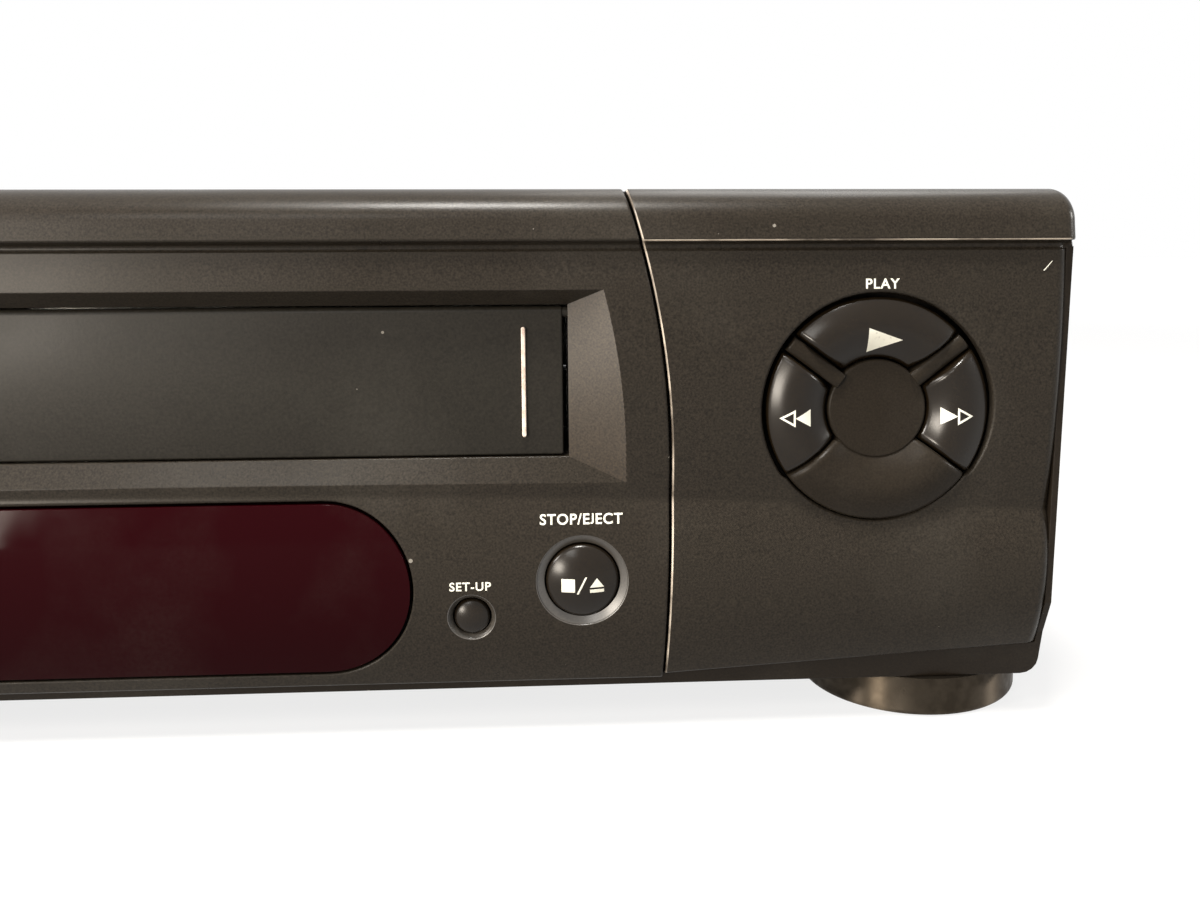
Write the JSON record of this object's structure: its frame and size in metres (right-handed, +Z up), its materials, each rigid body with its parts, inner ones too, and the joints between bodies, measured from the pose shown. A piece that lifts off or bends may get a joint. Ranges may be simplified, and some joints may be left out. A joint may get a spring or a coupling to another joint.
{
  "type": "video cassette recorder",
  "caption": "Front-loading video cassette recorder with hinged cassette door, round key control, tape deck and rear sockets.",
  "frame": {"origin": "middle of the footprint, on the surface that the feet stand on", "axes": "+X along the front towards the round transport keys, +Y from the front to the sockets, +Z up"},
  "size_m": [0.38, 0.287, 0.103],
  "materials": {
    "front_plastic": "warm dark grey moulded plastic with a satin grain",
    "end_plastic": "warm dark grey moulded plastic with a satin grain",
    "frame_plastic": "dark moulded plastic",
    "door_plastic": "smooth dark greenish grey plastic",
    "key_plastic": "satin black plastic",
    "window_plastic": "dark red smoked acrylic",
    "painted_steel": "black textured paint on sheet steel",
    "zinc_steel": "zinc plated sheet steel",
    "machined_alloy": "machined aluminium",
    "cast_alloy": "die cast aluminium",
    "polished_steel": "polished steel",
    "foot_metal": "dark bronze plated shell",
    "foot_rubber": "black rubber",
    "tray_plastic": "black moulded plastic",
    "deck_plastic": "dark moulded plastic",
    "white_plastic": "off-white bearing plastic",
    "socket_plastic": "black moulded plastic",
    "roller_rubber": "black rubber",
    "board": "brown laminate circuit board",
    "display_glass": "dark display glass",
    "core_steel": "varnished iron core"
  },
  "bodies": {
    "recorder": {"centre_fascia": "front_plastic", "right_fascia": "end_plastic", "left_fascia": "end_plastic", "front_frame": "frame_plastic", "control_ring_base": "key_plastic", "channel_ring_base": "key_plastic", "display_window": "window_plastic", "top_cover": "painted_steel", "rear_panel": "zinc_steel", "tuner_can": "zinc_steel", "deck_plate": "zinc_steel", "side_rail_left": "zinc_steel", "side_rail_right": "zinc_steel", "loading_motor": "zinc_steel", "heat_sink": "machined_alloy", "drum_lower": "cast_alloy", "capstan_bearing": "cast_alloy", "audio_head": "polished_steel", "erase_head": "polished_steel", "audio_socket_left": "polished_steel", "audio_socket_right": "polished_steel", "aerial_out_socket": "polished_steel", "aerial_in_socket": "polished_steel", "front_foot_left": "foot_metal", "front_foot_right": "foot_metal", "rear_foot_left": "foot_rubber", "rear_foot_right": "foot_rubber", "chassis_tray": "tray_plastic", "scart_socket_outer": "socket_plastic", "scart_socket_inner": "socket_plastic", "mains_inlet": "socket_plastic", "drive_belt": "roller_rubber", "front_board": "board", "left_key_board": "board", "right_key_board": "board", "main_board": "board", "power_board": "board", "display_tube": "display_glass", "transformer": "core_steel"},
    "door": {"cassette_door": "door_plastic"},
    "sled": {"carriage_sled": "zinc_steel"},
    "basket": {"cassette_basket": "zinc_steel"},
    "head_drum": {"drum_upper": "machined_alloy"},
    "capstan": {"capstan": "polished_steel"},
    "clutch": {"clutch_pulley": "white_plastic"},
    "supply_reel": {"supply_reel": "deck_plastic"},
    "takeup_reel": {"takeup_reel": "deck_plastic"},
    "pinch_arm": {"pinch_arm": "zinc_steel"},
    "pinch_roller": {"pinch_roller": "roller_rubber"},
    "supply_guide": {"supply_guide": "cast_alloy"},
    "takeup_guide": {"takeup_guide": "cast_alloy"},
    "stop_eject_key": {"stop_eject_button": "key_plastic"},
    "setup_key": {"setup_button": "key_plastic"},
    "standby_key": {"standby_button": "key_plastic"},
    "record_key": {"record_button": "key_plastic"},
    "play_key": {"play_button": "key_plastic"},
    "rewind_key": {"rewind_button": "key_plastic"},
    "forward_key": {"forward_button": "key_plastic"},
    "channel_up_key": {"channel_up_button": "key_plastic"},
    "channel_down_key": {"channel_down_button": "key_plastic"}
  },
  "joints": [
    {"name": "door_hinge", "type": "hinge", "parent": "recorder", "child": "door", "pos_m": [0, -0.1373, 0.0802], "axis": [1, 0, 0], "range_deg": [0, 93], "stiffness_Nm_per_rad": 0.01, "springref_deg": -5.73},
    {"name": "carriage_slide", "type": "slide", "parent": "recorder", "child": "sled", "axis": [0, 1, 0], "range_m": [0, 0.055]},
    {"name": "carriage_drop", "type": "slide", "parent": "sled", "child": "basket", "axis": [0, 0, -1], "range_m": [0, 0.021]},
    {"name": "drum_spin", "type": "hinge", "parent": "recorder", "child": "head_drum", "pos_m": [0, 0.06764, 0.0489], "axis": [0, -0.1045, 0.9945], "continuous": true},
    {"name": "capstan_spin", "type": "hinge", "parent": "recorder", "child": "capstan", "pos_m": [0.056, 0.0345, 0.024], "axis": [0, 0, 1], "continuous": true},
    {"name": "clutch_spin", "type": "hinge", "parent": "recorder", "child": "clutch", "pos_m": [0, -0.0035, 0.024], "axis": [0, 0, 1], "continuous": true},
    {"name": "supply_spin", "type": "hinge", "parent": "recorder", "child": "supply_reel", "pos_m": [-0.046, -0.0235, 0.024], "axis": [0, 0, 1], "continuous": true},
    {"name": "takeup_spin", "type": "hinge", "parent": "recorder", "child": "takeup_reel", "pos_m": [0.046, -0.0235, 0.024], "axis": [0, 0, 1], "continuous": true},
    {"name": "pinch_swing", "type": "hinge", "parent": "recorder", "child": "pinch_arm", "pos_m": [0.082, 0.0465, 0.03], "axis": [0, 0, 1], "range_deg": [0, 30], "stiffness_Nm_per_rad": 0.005},
    {"name": "pinch_roller_spin", "type": "hinge", "parent": "pinch_arm", "child": "pinch_roller", "pos_m": [0.06264, 0.04749, 0.035], "axis": [0, 0, 1], "continuous": true},
    {"name": "supply_guide_slide", "type": "slide", "parent": "recorder", "child": "supply_guide", "axis": [-0.3237, 0.9462, 0], "range_m": [0, 0.06]},
    {"name": "takeup_guide_slide", "type": "slide", "parent": "recorder", "child": "takeup_guide", "axis": [0.3237, 0.9462, 0], "range_m": [0, 0.06]},
    {"name": "stop_eject_key_press", "type": "slide", "parent": "recorder", "child": "stop_eject_key", "axis": [0, 1, 0], "range_m": [0, 0.0012], "stiffness_N_per_m": 800, "springref_m": -0.0005},
    {"name": "setup_key_press", "type": "slide", "parent": "recorder", "child": "setup_key", "axis": [0, 1, 0], "range_m": [0, 0.0012], "stiffness_N_per_m": 800, "springref_m": -0.0005},
    {"name": "standby_key_press", "type": "slide", "parent": "recorder", "child": "standby_key", "axis": [0, 1, 0], "range_m": [0, 0.0012], "stiffness_N_per_m": 800, "springref_m": -0.0005},
    {"name": "record_key_press", "type": "slide", "parent": "recorder", "child": "record_key", "axis": [0, 1, 0], "range_m": [0, 0.0012], "stiffness_N_per_m": 800, "springref_m": -0.0005},
    {"name": "play_key_press", "type": "slide", "parent": "recorder", "child": "play_key", "axis": [0, 1, 0], "range_m": [0, 0.0012], "stiffness_N_per_m": 800, "springref_m": -0.0005},
    {"name": "rewind_key_press", "type": "slide", "parent": "recorder", "child": "rewind_key", "axis": [0, 1, 0], "range_m": [0, 0.0012], "stiffness_N_per_m": 800, "springref_m": -0.0005},
    {"name": "forward_key_press", "type": "slide", "parent": "recorder", "child": "forward_key", "axis": [0, 1, 0], "range_m": [0, 0.0012], "stiffness_N_per_m": 800, "springref_m": -0.0005},
    {"name": "channel_up_key_press", "type": "slide", "parent": "recorder", "child": "channel_up_key", "axis": [0, 1, 0], "range_m": [0, 0.0012], "stiffness_N_per_m": 800, "springref_m": -0.0005},
    {"name": "channel_down_key_press", "type": "slide", "parent": "recorder", "child": "channel_down_key", "axis": [0, 1, 0], "range_m": [0, 0.0012], "stiffness_N_per_m": 800, "springref_m": -0.0005}
  ],
  "couplings": [
    {"joint": "clutch_spin", "follows": "capstan_spin", "ratio": 0.6667},
    {"joint": "takeup_guide_slide", "follows": "supply_guide_slide", "ratio": 1}
  ]
}
